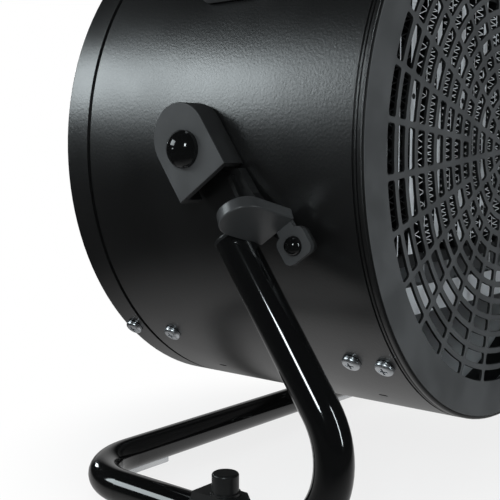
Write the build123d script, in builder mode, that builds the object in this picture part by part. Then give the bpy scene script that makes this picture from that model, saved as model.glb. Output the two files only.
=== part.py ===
"""Ceramic space heater: a round fan drum with a PTC element, carried at two pivots by a bent tube stand.

Millimetres, +Z up, the outlet faces -Y. The origin is on the floor, under the middle of the overall box.
Depths are measured along the drum from its front face towards the back.
"""

import math
import os

from build123d import *

# Drum
DRUM_R = 100.0
DRUM_DEPTH = 132.2
PIVOT_DEPTH = 61.9
CASING_WALL = 1.0
NEST_GAP = 0.15
RIM_BACK = 0.4
RIM_EDGE = 0.5
BEAD_DEPTH = 2.6
BEAD_R = 0.45
BEAD_GROOVE = 1.9
BEAD_GROOVE_DEPTH = 0.55

# Front grille and bezel
BEZEL_DEPTH = 3.9
BEZEL_EDGE = 0.5
SPIGOT_WALL = 1.5
SPIGOT_LENGTH = 11.0
GRILLE_FIELD_R = 85.9
GRILLE_THICKNESS = 1.0
SPOKES = 30
HUB_SPOKES = 15
SLOT_ROWS = 13
HUB_ROWS = 4
SPOKE_WIDTH = 2.0
RING_BAR = 2.1

# Rear cover and guard
REAR_BAND = 11.6
GROOVE = 1.8
REAR_SPIGOT = 5.0
BAND_WALL = 2.0
BAND_EDGE = 0.8
GUARD_THICKNESS = 2.5
INTAKE_OUTER_R = 88.0
INTAKE_INNER_R = 36.0
INTAKE_ROWS = 4
INTAKE_SLOTS = 24
INTAKE_BAR = 3.6
PANEL_TOP = 34.0

# Casing screws, in rows round the drum
SCREW_ANGLES = (45.0, 135.0, 225.0, 315.0)
SCREW_HEAD_R = 3.4
SCREW_HEAD_HEIGHT = 2.0
SCREW_SHANK_R = 1.6
SCREW_LENGTH = 5.0
BEZEL_SCREW_DEPTH = 8.9
FRAME_SCREW_DEPTH = 21.9
SPIDER_SCREW_INSET = 26.7
COVER_SCREW_INSET = 5.2
DRAIN_ANGLES = (240.0, 300.0)
DRAIN_FRONT = 22.2
DRAIN_BACK = 34.4
DRAIN_LENGTH = 3.6
DRAIN_WIDTH = 1.4

# Heating element
ELEMENT_DEPTH = 15.0
ELEMENT_THICKNESS = 16.0
ELEMENT_BOTTOM = -36.5
ELEMENT_HEIGHT = 93.5
BAR_PITCH = 18.0
BAR_COUNT = 8
BAR_WIDTH = 3.6
DIVIDER = 0.6
FIN_PITCH = 8.0
FIN_SHEET = 0.5
ELEMENT_GAP = 0.1
HOLDER_HEIGHT = 4.0
HOLDER_OVERHANG = 4.0
SHELF_SHEET = 1.5
SHELF_DROP = 16.2
SHELF_FLANGE = 10.2
FRAME_SHEET = 1.2
FRAME_BAND = 13.0
POST_WIDTH = 10.0
TERMINAL_LENGTH = 8.0
TERMINAL_WIDTH = 6.3
TERMINAL_SHEET = 0.8
CUTOUT_R = 8.0
CUTOUT_HEIGHT = 7.0

# Fan and motor
FAN_R = 78.0
FAN_LEAD = 27.0
FAN_WIDTH = 24.0
FAN_HUB_R = 22.0
FAN_HUB_WALL = 3.0
FAN_BLADES = 6
BLADE_THICKNESS = 2.0
BLADE_CHORD_ROOT = 26.0
BLADE_CHORD_TIP = 42.0
BLADE_PITCH_ROOT = 44.0
BLADE_PITCH_TIP = 26.0
SHAFT_R = 3.0
SHAFT_GAP = 0.05
MOTOR_R = 30.0
MOTOR_LEAD = 18.5
MOTOR_LENGTH = 30.0
MOTOR_WALL = 1.5
BEARING_R = 8.0
BEARING_LENGTH = 4.5
ROTOR_R = 14.0
ROTOR_GAP = 0.5
SPIDER_SHEET = 1.6
SPIDER_BAND = 14.0
SPIDER_ARM_WIDTH = 16.0
SPIDER_ARMS = 3

# Controls on the rear guard
CONTROL_SPREAD = 31.0
CONTROL_DROP = 62.0
SPINDLE_R = 3.0
SPINDLE_GAP = 0.05
SPINDLE_DEPTH = 10.0
SPINDLE_HOLE_R = 4.5
CONTROL_DEPTH = 18.0
KNOB_R = 15.0
KNOB_HEIGHT = 14.0
KNOB_STANDOFF = 1.0
KNOB_SKIRT = 3.0
KNOB_GRIP = 9.0
KNOB_TAPER = 4.0
KNOB_EDGE = 1.0
SWITCH_SIDE = 24.0
THERMOSTAT_R = 13.0
GLAND_R = 9.0
GLAND_NECK_R = 7.0
GLAND_BORE_R = 4.2
GLAND_FLANGE = 3.0
GLAND_TAPER = 20.0
BLOCK_WIDTH = 34.0
BLOCK_HEIGHT = 12.0
BLOCK_DEPTH = 12.0
BLOCK_WAYS = 3
BLOCK_SCREW_R = 2.5

# Carry handle
HANDLE_WIDTH = 25.4
HANDLE_STRAP = 5.0
HANDLE_EDGE = 1.2
HANDLE_RISE = 40.0
HANDLE_FOOT_LOW = 29.4
HANDLE_FOOT_HIGH = 44.0
HANDLE_KNEE_R = 12.0
HANDLE_TOE_R = 5.0
HANDLE_SCREW_ANGLE = 36.0
HANDLE_SCREW_SPREAD = 12.0

# Pivots and arms. Along an arm, reach runs from the pivot towards the stand's front bend, side is square
# to it, towards the outlet, and out is the distance from the drum's middle plane.
ARM_LEAN = 55.2
ARM_CLEARANCE = 0.5
ARM_SHEET = 1.8
ARM_EYE_R = 9.3
NECK_ROWS = (  # reach, then the two edges as side
    (13.8, 6.4, 9.3),
    (15.4, 6.2, 11.6),
    (25.0, 5.2, 12.0),
    (31.0, 6.7, 13.1),
    (36.0, 8.0, 14.0),
)
RIB_ROWS = NECK_ROWS[1:4]
RIB_WIDTH = 1.5
RIB_HEIGHT = 1.8
COVER_WIDTH = 23.4
COVER_FOOT = 13.5
COVER_ARC_BACK = 4.2
COVER_STANDOFF = 9.5
COVER_WALL = 2.0
COVER_EDGE = 0.45
COVER_BOSS_R = 7.0
PIVOT_BOLT_R = 4.0
PIVOT_GAP = 0.05
DOME_R = 6.2
DOME_HEIGHT = 5.3
DOME_COLLAR = 1.6
BUSH_WALL = 2.0
BUSH_LENGTH = 6.0
BUSH_FLANGE_R = 10.0
BUSH_FLANGE = 2.0
NUT_FLATS = 13.0
NUT_HEIGHT = 5.0
NUT_GAP = 0.3
LUG_REACH = 41.1
LUG_SIDE = 5.5
LUG_WIDTH = 15.6
LUG_LENGTH = 22.9
LUG_THICKNESS = 4.1
LUG_TILT = 20.0
LUG_ROUND = 7.6
LUG_EDGE = 0.5
TAB_REACH = 47.2
TAB_SIDE = 16.4
TAB_LENGTH = 9.4
TAB_WIDTH = 11.7
TAB_CORNER = 2.6
TAB_INSET = 0.4
TAB_DOME_R = 3.1
TAB_DOME_HEIGHT = 3.0
TAB_SCREW_R = 1.8

# Tube stand
TUBE_R = 6.2
TUBE_WALL = 1.2
TUBE_TOP = 34.5
STAND_HALF_WIDTH = 107.9
AXIS_DROP = 121.0
CROSS_BACK = 59.8
FRONT_BEND_R = 27.9
REAR_BEND_R = 27.5
PLUG_LENGTH = 8.0
PLUG_RIM = 1.5
FOOT_BACK = -16.0
FOOT_FRONT = 10.9
FOOT_REAR = 13.1
FOOT_WALL = 2.2
FOOT_SOLE = 1.5
FOOT_FRONT_SLOPE = 5.8
FOOT_REAR_SLOPE = 3.0
FOOT_CROWN = 1.0
POST_R = 4.5
POST_HEIGHT = 7.0
POST_EDGE = 0.8
POST_COLLAR = 0.6
POST_COLLAR_HEIGHT = 0.7
REAR_PAD_SPREAD = 70.0
REAR_PAD_LENGTH = 22.0
REAR_PAD_WIDTH = 9.0
REAR_PAD_HEIGHT = 4.0
TUBE_GAP = 0.1

# Places worked out from the sizes above
AXIS_Z = AXIS_DROP + TUBE_R + FOOT_SOLE
LEAN = math.radians(ARM_LEAN)
FRONT_CORNER = -AXIS_DROP / math.tan(LEAN)
BEND_RUN = FRONT_BEND_R / math.tan(LEAN / 2)
STAND_FRONT = FRONT_CORNER + BEND_RUN - FRONT_BEND_R - TUBE_R
OBJECT_FRONT = min(STAND_FRONT, -PIVOT_DEPTH)
OBJECT_BACK = DRUM_DEPTH - PIVOT_DEPTH + KNOB_STANDOFF + KNOB_HEIGHT
PIVOT_Y = -(OBJECT_FRONT + OBJECT_BACK) / 2
FRONT_Y = PIVOT_Y - PIVOT_DEPTH
CASING_IN = DRUM_R - CASING_WALL
COVER_START = DRUM_DEPTH - REAR_BAND
CASING_END = COVER_START - GROOVE
GUARD_FRONT = DRUM_DEPTH - GUARD_THICKNESS
COVER_SCREW_DEPTH = DRUM_DEPTH - COVER_SCREW_INSET
SPIDER_SCREW_DEPTH = DRUM_DEPTH - SPIDER_SCREW_INSET
DRAIN_DEPTHS = (DRAIN_FRONT, DRUM_DEPTH - DRAIN_BACK)
MOTOR_FRONT = SPIDER_SCREW_DEPTH - MOTOR_LEAD
FAN_DEPTH = MOTOR_FRONT - FAN_LEAD
SHELF_BOTTOM = ELEMENT_BOTTOM - HOLDER_HEIGHT - SHELF_DROP
SHELF_TOP = ELEMENT_BOTTOM + ELEMENT_HEIGHT + HOLDER_HEIGHT
ELEMENT_HALF = ((BAR_COUNT - 1) * BAR_PITCH + BAR_WIDTH) / 2
FRAME_R = CASING_IN - NEST_GAP
ARM_OUT = DRUM_R + ARM_CLEARANCE
TAB_OUT = ARM_OUT + ARM_SHEET
LUG_OUT = TAB_OUT + ARM_SHEET
COVER_OUT = DRUM_R + COVER_STANDOFF

ARM_DOWN = Vector(0, -math.cos(LEAN), -math.sin(LEAN))
ARM_SIDE = Vector(0, -math.sin(LEAN), math.cos(LEAN))
UP_ARM = Axis((0, 0, 0), -ARM_DOWN)
TUBE_END = Vector(-STAND_HALF_WIDTH, PIVOT_Y, AXIS_Z) + ARM_DOWN * TUBE_TOP

os.makedirs("parts", exist_ok=True)


def behind(depth, x=0.0, z=0.0):
    """A plane across the drum at a depth, facing the back, with its own y up."""
    return Plane(origin=(x, FRONT_Y + depth, AXIS_Z + z), x_dir=(-1, 0, 0), z_dir=(0, 1, 0))


def on_drum(angle, depth, radius=DRUM_R):
    """A plane square to the drum's radius at an angle from +X, facing outwards."""
    turn = math.radians(angle)
    outward = Vector(math.cos(turn), 0, math.sin(turn))
    origin = Vector(0, FRONT_Y + depth, AXIS_Z) + outward * radius
    return Plane(origin=origin, x_dir=(0, 1, 0), z_dir=outward)


def on_arm(out):
    """A plane on the left arm: x is reach down the arm, y is side and z is out."""
    return Plane(origin=(-out, PIVOT_Y, AXIS_Z), x_dir=ARM_DOWN, z_dir=(-1, 0, 0))


def save(piece, label):
    piece.label = label
    export_step(piece, f"parts/{label}.step")


def save_pair(builder, label):
    """Writes a left-hand piece and its mirrored right-hand twin."""
    with BuildPart() as twin:
        mirror(builder.part, about=Plane.YZ)
    save(builder.part, f"{label}_left")
    save(twin.part, f"{label}_right")


def ring(inner, outer, start, end, mode=Mode.ADD):
    """A band round the drum's axis, added to the part being built or cut from it."""
    with BuildSketch(behind(start)) as band:
        Circle(outer)
        Circle(inner, mode=Mode.SUBTRACT)
    extrude(band.sketch, amount=end - start, mode=mode)


def screw(place, length):
    """A pan-head screw on a plane, head outwards, added to the part being built."""
    with Locations(place):
        Cylinder(SCREW_HEAD_R, SCREW_HEAD_HEIGHT, align=(Align.CENTER, Align.CENTER, Align.MIN))
        Cylinder(SCREW_SHANK_R, length, align=(Align.CENTER, Align.CENTER, Align.MAX))


def round_cap(half_width, height):
    """The radius of the arc that makes a round cap of a half width and a height."""
    return (half_width**2 + height**2) / (2 * height)


def handle_seats(radius):
    """The planes of the handle's screws, two in each foot."""
    seats = []
    for angle in (HANDLE_SCREW_ANGLE, 180 - HANDLE_SCREW_ANGLE):
        for step in (-HANDLE_SCREW_SPREAD / 2, HANDLE_SCREW_SPREAD / 2):
            seats.append(on_drum(angle, PIVOT_DEPTH + step, radius))
    return seats


def sector_slot(inner, outer, count, bar):
    """A slot between two radii, with straight bars of one width left at both ends."""
    half_turn = math.pi / count
    ends = []
    for radius in (inner, outer):
        trim = half_turn - math.asin(bar / 2 / radius)
        ends.append((radius, trim))
    (r_in, a_in), (r_out, a_out) = ends
    with BuildSketch() as slot:
        with BuildLine():
            low_in = Vector(r_in * math.cos(a_in), -r_in * math.sin(a_in))
            low_out = Vector(r_out * math.cos(a_out), -r_out * math.sin(a_out))
            high_in = Vector(low_in.X, -low_in.Y)
            high_out = Vector(low_out.X, -low_out.Y)
            Line(low_in, low_out)
            ThreePointArc(low_out, (r_out, 0), high_out)
            Line(high_out, high_in)
            ThreePointArc(high_in, (r_in, 0), low_in)
        make_face()
    return slot.sketch


# Drum casing: a rolled sheet barrel with a bead behind its front rim, and holes for pivots, screws and drains
with BuildPart() as drum_casing:
    ring(CASING_IN, DRUM_R, RIM_BACK, CASING_END)
    outer_rim = drum_casing.edges().filter_by(GeomType.CIRCLE).sort_by(SortBy.RADIUS)[-2:]
    fillet(outer_rim.sort_by(Axis.Y)[0], RIM_EDGE)
    groove_start = BEAD_DEPTH - BEAD_GROOVE / 2
    ring(DRUM_R - BEAD_GROOVE_DEPTH, DRUM_R + BEAD_R, groove_start, groove_start + BEAD_GROOVE, Mode.SUBTRACT)
    with Locations(behind(BEAD_DEPTH)):
        Torus(DRUM_R - BEAD_R, BEAD_R)
    for angle in SCREW_ANGLES:
        for depth in (BEZEL_SCREW_DEPTH, FRAME_SCREW_DEPTH, SPIDER_SCREW_DEPTH):
            with Locations(on_drum(angle, depth)):
                Hole(SCREW_SHANK_R + NEST_GAP, depth=2 * CASING_WALL)
    for seat in handle_seats(DRUM_R):
        with Locations(seat):
            Hole(SCREW_SHANK_R + NEST_GAP, depth=2 * CASING_WALL)
    for angle in DRAIN_ANGLES:
        for depth in DRAIN_DEPTHS:
            with BuildSketch(on_drum(angle, depth)):
                SlotOverall(DRAIN_LENGTH, DRAIN_WIDTH)
            extrude(amount=-2 * CASING_WALL, mode=Mode.SUBTRACT)
    for angle in (0, 180):
        with Locations(on_drum(angle, PIVOT_DEPTH)):
            Hole(PIVOT_BOLT_R + BUSH_WALL + NEST_GAP, depth=4 * CASING_WALL)
save(drum_casing.part, "drum_casing")

# Front grille: bezel and spigot inside the casing's rim, round a plate of concentric slots between spokes
ROW_PITCH = GRILLE_FIELD_R / (SLOT_ROWS + 1)
with BuildPart() as front_grille:
    ring(GRILLE_FIELD_R + RING_BAR, FRAME_R, 0, BEZEL_DEPTH)
    bezel_rim = front_grille.edges().filter_by(GeomType.CIRCLE).sort_by(SortBy.RADIUS)[-2:]
    fillet(bezel_rim.sort_by(Axis.Y)[0], BEZEL_EDGE)
    ring(FRAME_R - SPIGOT_WALL, FRAME_R, BEZEL_DEPTH, BEZEL_DEPTH + SPIGOT_LENGTH)
    for angle in SCREW_ANGLES:
        with Locations(on_drum(angle, BEZEL_SCREW_DEPTH)):
            Hole(SCREW_SHANK_R + NEST_GAP, depth=CASING_WALL + 2 * SPIGOT_WALL)
    with BuildSketch(behind(0)):
        Circle(GRILLE_FIELD_R + RING_BAR)
        for row in range(SLOT_ROWS):
            spokes = HUB_SPOKES if row < HUB_ROWS else SPOKES
            outer = GRILLE_FIELD_R - (SLOT_ROWS - 1 - row) * ROW_PITCH
            inner = outer - ROW_PITCH + RING_BAR
            slot = sector_slot(inner, outer, spokes, SPOKE_WIDTH)
            with PolarLocations(0, spokes, start_angle=180 / spokes - 180 / SPOKES):
                add(slot, mode=Mode.SUBTRACT)
    extrude(amount=GRILLE_THICKNESS)
save(front_grille.part, "front_grille")

# Element frame: a sheet band inside the casing with two shelves and two side posts for the element
FRAME_START = FRAME_SCREW_DEPTH - FRAME_BAND / 2
POST_X = ELEMENT_HALF + HOLDER_OVERHANG + NEST_GAP
with BuildPart() as element_frame:
    ring(FRAME_R - FRAME_SHEET, FRAME_R, FRAME_START, FRAME_START + FRAME_BAND)
    for low in (SHELF_BOTTOM - SHELF_SHEET, SHELF_TOP):
        reach = max(abs(low), abs(low + SHELF_SHEET))
        half_chord = math.sqrt((FRAME_R - FRAME_SHEET / 2) ** 2 - reach**2)
        with BuildSketch(behind(FRAME_START, z=low + SHELF_SHEET / 2)):
            Rectangle(2 * half_chord, SHELF_SHEET)
        extrude(amount=ELEMENT_THICKNESS + POST_WIDTH)
    with BuildSketch(behind(FRAME_START, z=SHELF_BOTTOM - SHELF_SHEET)):
        Rectangle(2 * POST_X, SHELF_FLANGE, align=(Align.CENTER, Align.MIN))
    extrude(amount=FRAME_SHEET)
    with BuildSketch(behind(ELEMENT_DEPTH, z=(SHELF_BOTTOM + SHELF_TOP) / 2)):
        with Locations((-POST_X - FRAME_SHEET / 2, 0), (POST_X + FRAME_SHEET / 2, 0)):
            Rectangle(FRAME_SHEET, SHELF_TOP - SHELF_BOTTOM)
    extrude(amount=ELEMENT_THICKNESS)
    for angle in SCREW_ANGLES:
        with Locations(on_drum(angle, FRAME_SCREW_DEPTH)):
            Hole(SCREW_SHANK_R + NEST_GAP, depth=CASING_WALL + 3 * FRAME_SHEET)
save(element_frame.part, "element_frame")

# Heating element: upright PTC bars, folded fins with a divider between each pair, and holders at both ends
ELEMENT_MIDDLE = ELEMENT_BOTTOM + ELEMENT_HEIGHT / 2
CELL = (BAR_PITCH - BAR_WIDTH - DIVIDER) / 2
with BuildPart() as ptc_bars:
    with BuildSketch(behind(ELEMENT_DEPTH, z=ELEMENT_MIDDLE)):
        with GridLocations(BAR_PITCH, 0, BAR_COUNT, 1):
            Rectangle(BAR_WIDTH, ELEMENT_HEIGHT - 2 * ELEMENT_GAP)
    extrude(amount=ELEMENT_THICKNESS)
save(ptc_bars.part, "ptc_bars")

with BuildPart() as fin_dividers:
    with BuildSketch(behind(ELEMENT_DEPTH, z=ELEMENT_MIDDLE)):
        with GridLocations(BAR_PITCH, 0, BAR_COUNT - 1, 1):
            Rectangle(DIVIDER, ELEMENT_HEIGHT - 2 * ELEMENT_GAP)
    extrude(amount=ELEMENT_THICKNESS)
save(fin_dividers.part, "fin_dividers")

FIN_HALF = CELL / 2 - ELEMENT_GAP
FIN_FOLDS = 2 * int((ELEMENT_HEIGHT - 2 * FIN_SHEET) / FIN_PITCH)
FIN_STEP = FIN_PITCH / 2
with BuildSketch() as fin_strip:
    with BuildLine():
        start = -FIN_FOLDS * FIN_STEP / 2
        swing = FIN_HALF - FIN_SHEET
        right = []
        left = []
        for fold in range(FIN_FOLDS + 1):
            side = swing if fold % 2 else -swing
            right.append((side + FIN_SHEET, start + fold * FIN_STEP))
            left.append((side - FIN_SHEET, start + fold * FIN_STEP))
        Polyline(*right, *reversed(left), close=True)
    make_face()
with BuildPart() as fin_columns:
    with BuildSketch(behind(ELEMENT_DEPTH, z=ELEMENT_MIDDLE)):
        with GridLocations(BAR_PITCH, 0, BAR_COUNT - 1, 1):
            with GridLocations(CELL + DIVIDER, 0, 2, 1):
                add(fin_strip.sketch)
    extrude(amount=ELEMENT_THICKNESS)
save(fin_columns.part, "fin_columns")

for label, low in (
    ("element_holder_bottom", ELEMENT_BOTTOM - HOLDER_HEIGHT),
    ("element_holder_top", ELEMENT_BOTTOM + ELEMENT_HEIGHT),
):
    with BuildPart() as holder:
        with BuildSketch(behind(ELEMENT_DEPTH, z=low + HOLDER_HEIGHT / 2)):
            Rectangle(2 * (ELEMENT_HALF + HOLDER_OVERHANG), HOLDER_HEIGHT)
        extrude(amount=ELEMENT_THICKNESS)
        chamfer(holder.edges().filter_by(Axis.Y), HOLDER_HEIGHT / 5)
    save(holder.part, label)

with BuildPart() as ptc_terminals:
    blade_z = ELEMENT_BOTTOM - HOLDER_HEIGHT - TERMINAL_LENGTH / 2
    with BuildSketch(behind(ELEMENT_DEPTH + (ELEMENT_THICKNESS - TERMINAL_WIDTH) / 2, z=blade_z)):
        with GridLocations(BAR_PITCH, 0, BAR_COUNT, 1):
            Rectangle(TERMINAL_SHEET, TERMINAL_LENGTH)
    extrude(amount=TERMINAL_WIDTH)
save(ptc_terminals.part, "ptc_terminals")

with BuildPart() as thermal_cutout:
    seat = Plane(origin=(2 * BAR_PITCH, FRONT_Y + FRAME_START + ELEMENT_THICKNESS, AXIS_Z + SHELF_BOTTOM))
    with BuildSketch(seat):
        Circle(CUTOUT_R)
    extrude(amount=CUTOUT_HEIGHT / 2)
    with BuildSketch(seat.offset(CUTOUT_HEIGHT / 2)):
        Circle(CUTOUT_R * 0.75)
    extrude(amount=CUTOUT_HEIGHT / 2)
save(thermal_cutout.part, "thermal_cutout")

# Motor: front plate and can round a stator, with two bearings for the shaft
MOTOR_BACK = MOTOR_FRONT + MOTOR_LENGTH
STATOR_START = MOTOR_FRONT + MOTOR_WALL + BEARING_LENGTH
STATOR_LENGTH = MOTOR_LENGTH - 2 * MOTOR_WALL - 2 * BEARING_LENGTH
SHAFT_BORE_R = SHAFT_R + SHAFT_GAP
with BuildPart() as motor_front_plate:
    ring(BEARING_R + NEST_GAP, MOTOR_R, MOTOR_FRONT, MOTOR_FRONT + MOTOR_WALL)
    ring(BEARING_R + NEST_GAP, BEARING_R + MOTOR_WALL, MOTOR_FRONT + MOTOR_WALL, STATOR_START - NEST_GAP)
save(motor_front_plate.part, "motor_front_plate")

with BuildPart() as motor_can:
    ring(MOTOR_R - MOTOR_WALL, MOTOR_R, MOTOR_FRONT + MOTOR_WALL, MOTOR_BACK)
    with BuildSketch(behind(MOTOR_BACK - MOTOR_WALL)):
        Circle(MOTOR_R - MOTOR_WALL)
    extrude(amount=MOTOR_WALL)
    ring(
        BEARING_R + NEST_GAP,
        BEARING_R + MOTOR_WALL,
        MOTOR_BACK - MOTOR_WALL - BEARING_LENGTH + NEST_GAP,
        MOTOR_BACK - MOTOR_WALL,
    )
save(motor_can.part, "motor_can")

with BuildPart() as motor_stator:
    ring(
        ROTOR_R + ROTOR_GAP,
        MOTOR_R - MOTOR_WALL - NEST_GAP,
        STATOR_START,
        STATOR_START + STATOR_LENGTH,
    )
save(motor_stator.part, "motor_stator")

with BuildPart() as motor_bearings:
    ring(SHAFT_BORE_R, BEARING_R, MOTOR_FRONT, MOTOR_FRONT + BEARING_LENGTH)
    back_bearing = MOTOR_BACK - MOTOR_WALL - BEARING_LENGTH
    ring(SHAFT_BORE_R, BEARING_R, back_bearing, back_bearing + BEARING_LENGTH)
save(motor_bearings.part, "motor_bearings")

# Rotor, shaft and fan, which turn together
with BuildPart() as motor_rotor:
    ring(SHAFT_R, ROTOR_R, STATOR_START + NEST_GAP, STATOR_START + STATOR_LENGTH - NEST_GAP)
save(motor_rotor.part, "motor_rotor")

with BuildPart() as motor_shaft:
    with BuildSketch(behind(FAN_DEPTH + FAN_HUB_WALL)):
        Circle(SHAFT_R)
    extrude(amount=MOTOR_BACK - MOTOR_WALL - 1 - FAN_DEPTH - FAN_HUB_WALL)
save(motor_shaft.part, "motor_shaft")

with BuildPart() as fan:
    with BuildSketch(behind(FAN_DEPTH)):
        Circle(FAN_HUB_R)
    extrude(amount=FAN_WIDTH)
    fillet(fan.edges().sort_by(Axis.Y)[0], FAN_HUB_WALL)
    with BuildSketch(behind(FAN_DEPTH + FAN_HUB_WALL)):
        Circle(FAN_HUB_R - FAN_HUB_WALL)
        Circle(SHAFT_R + FAN_HUB_WALL, mode=Mode.SUBTRACT)
    extrude(amount=FAN_WIDTH, mode=Mode.SUBTRACT)
    with BuildSketch(behind(FAN_DEPTH + FAN_HUB_WALL)):
        Circle(SHAFT_R)
    extrude(amount=FAN_WIDTH, mode=Mode.SUBTRACT)
    for blade in range(FAN_BLADES):
        turn = 360 / FAN_BLADES * blade
        root_r = FAN_HUB_R - FAN_HUB_WALL / 2
        root = on_drum(turn, FAN_DEPTH + FAN_WIDTH / 2, root_r)
        with BuildSketch(root):
            Rectangle(BLADE_CHORD_ROOT, BLADE_THICKNESS, rotation=90 - BLADE_PITCH_ROOT)
        with BuildSketch(root.offset(FAN_R - root_r)):
            Rectangle(BLADE_CHORD_TIP, BLADE_THICKNESS, rotation=90 - BLADE_PITCH_TIP)
        loft()
save(fan.part, "fan")

# Motor spider: a band inside the casing, three flat arms and a clamp ring round the motor
SPIDER_START = SPIDER_SCREW_DEPTH - SPIDER_BAND / 2
CLAMP_R = MOTOR_R + NEST_GAP
with BuildPart() as motor_spider:
    ring(FRAME_R - SPIDER_SHEET, FRAME_R, SPIDER_START, SPIDER_START + SPIDER_BAND)
    ring(CLAMP_R, CLAMP_R + SPIDER_SHEET, SPIDER_START, SPIDER_START + SPIDER_BAND)
    with BuildSketch(behind(SPIDER_START)):
        arm_inner = CLAMP_R + SPIDER_SHEET / 2
        arm_outer = FRAME_R - SPIDER_SHEET / 2
        with PolarLocations((arm_inner + arm_outer) / 2, SPIDER_ARMS, start_angle=90):
            Rectangle(arm_outer - arm_inner, SPIDER_ARM_WIDTH)
        Circle(CLAMP_R, mode=Mode.SUBTRACT)
    extrude(amount=SPIDER_SHEET)
    for angle in SCREW_ANGLES:
        with Locations(on_drum(angle, SPIDER_SCREW_DEPTH)):
            Hole(SCREW_SHANK_R + NEST_GAP, depth=CASING_WALL + 3 * SPIDER_SHEET)
save(motor_spider.part, "motor_spider")

# Rear cover: a band flush with the casing, with a spigot that leaves a groove before the casing's edge
BAND_IN = DRUM_R - BAND_WALL
with BuildPart() as rear_cover:
    ring(BAND_IN, DRUM_R, COVER_START, DRUM_DEPTH)
    ring(BAND_IN - SPIGOT_WALL, FRAME_R, CASING_END - REAR_SPIGOT, COVER_START)
    ring(BAND_IN - SPIGOT_WALL, BAND_IN, COVER_START, COVER_START + SPIGOT_WALL)
    outer_rim = rear_cover.edges().filter_by(GeomType.CIRCLE).sort_by(SortBy.RADIUS)[-2:]
    fillet(outer_rim.sort_by(Axis.Y)[-1], BAND_EDGE)
    for angle in SCREW_ANGLES:
        with Locations(on_drum(angle, COVER_SCREW_DEPTH)):
            Hole(SCREW_SHANK_R + NEST_GAP, depth=2 * BAND_WALL)
save(rear_cover.part, "rear_cover")

# Rear guard: a moulded plate with intake slots above a plain control panel
GUARD_R = BAND_IN - NEST_GAP
with BuildPart() as rear_guard:
    with BuildSketch(behind(GUARD_FRONT)):
        Circle(GUARD_R)
        intake_pitch = (INTAKE_OUTER_R - INTAKE_INNER_R + INTAKE_BAR) / INTAKE_ROWS
        for row in range(INTAKE_ROWS):
            inner = INTAKE_INNER_R + row * intake_pitch
            slot = sector_slot(inner, inner + intake_pitch - INTAKE_BAR, INTAKE_SLOTS, INTAKE_BAR)
            for step in range(INTAKE_SLOTS):
                turned = slot.rotate(Axis.Z, 360 / INTAKE_SLOTS * step)
                if turned.bounding_box().min.Y > -PANEL_TOP:
                    add(turned, mode=Mode.SUBTRACT)
        with Locations((-CONTROL_SPREAD, -CONTROL_DROP), (CONTROL_SPREAD, -CONTROL_DROP)):
            Circle(SPINDLE_HOLE_R, mode=Mode.SUBTRACT)
        with Locations((0, -CONTROL_DROP)):
            Circle(GLAND_NECK_R + NEST_GAP, mode=Mode.SUBTRACT)
    extrude(amount=GUARD_THICKNESS)
    ring(GUARD_R - SPIGOT_WALL, GUARD_R, COVER_START + SPIGOT_WALL + NEST_GAP, GUARD_FRONT)
    for angle in SCREW_ANGLES:
        with Locations(on_drum(angle, COVER_SCREW_DEPTH)):
            Hole(SCREW_SHANK_R + NEST_GAP, depth=BAND_WALL + 2 * SPIGOT_WALL)
save(rear_guard.part, "rear_guard")

# Controls: a rotary switch and a thermostat behind the guard, each with a spindle and a knob
SPINDLE_START = GUARD_FRONT - SPINDLE_DEPTH
KNOB_START = DRUM_DEPTH + KNOB_STANDOFF
SPINDLE_END = KNOB_START + KNOB_HEIGHT - KNOB_SKIRT
for label, body_label, x in (
    ("mode", "rotary_switch", -CONTROL_SPREAD),
    ("thermostat", "thermostat_body", CONTROL_SPREAD),
):
    with BuildPart() as control_body:
        with BuildSketch(behind(GUARD_FRONT - CONTROL_DEPTH, x, -CONTROL_DROP)):
            if body_label == "rotary_switch":
                Rectangle(SWITCH_SIDE, SWITCH_SIDE)
            else:
                Circle(THERMOSTAT_R)
        extrude(amount=CONTROL_DEPTH)
        with BuildSketch(behind(GUARD_FRONT, x, -CONTROL_DROP)):
            Circle(SPINDLE_R + SPINDLE_GAP)
        extrude(amount=-SPINDLE_DEPTH - SPINDLE_GAP, mode=Mode.SUBTRACT)
    save(control_body.part, body_label)
    with BuildPart() as spindle:
        with BuildSketch(behind(SPINDLE_START, x, -CONTROL_DROP)):
            Circle(SPINDLE_R)
        extrude(amount=SPINDLE_END - SPINDLE_START)
    save(spindle.part, f"{label}_spindle")
    with BuildPart() as knob:
        with BuildSketch(behind(KNOB_START, x, -CONTROL_DROP)):
            Circle(KNOB_R)
        extrude(amount=KNOB_SKIRT)
        with BuildSketch(behind(KNOB_START + KNOB_SKIRT, x, -CONTROL_DROP)):
            SlotOverall(2 * KNOB_R - KNOB_SKIRT, KNOB_GRIP, rotation=90)
        extrude(amount=KNOB_HEIGHT - KNOB_SKIRT, taper=KNOB_TAPER)
        fillet(knob.faces().sort_by(Axis.Y)[-1].edges(), KNOB_EDGE)
        with BuildSketch(behind(KNOB_START, x, -CONTROL_DROP)):
            Circle(SPINDLE_R)
        extrude(amount=SPINDLE_END - KNOB_START, mode=Mode.SUBTRACT)
    save(knob.part, f"{label}_knob")

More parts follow.
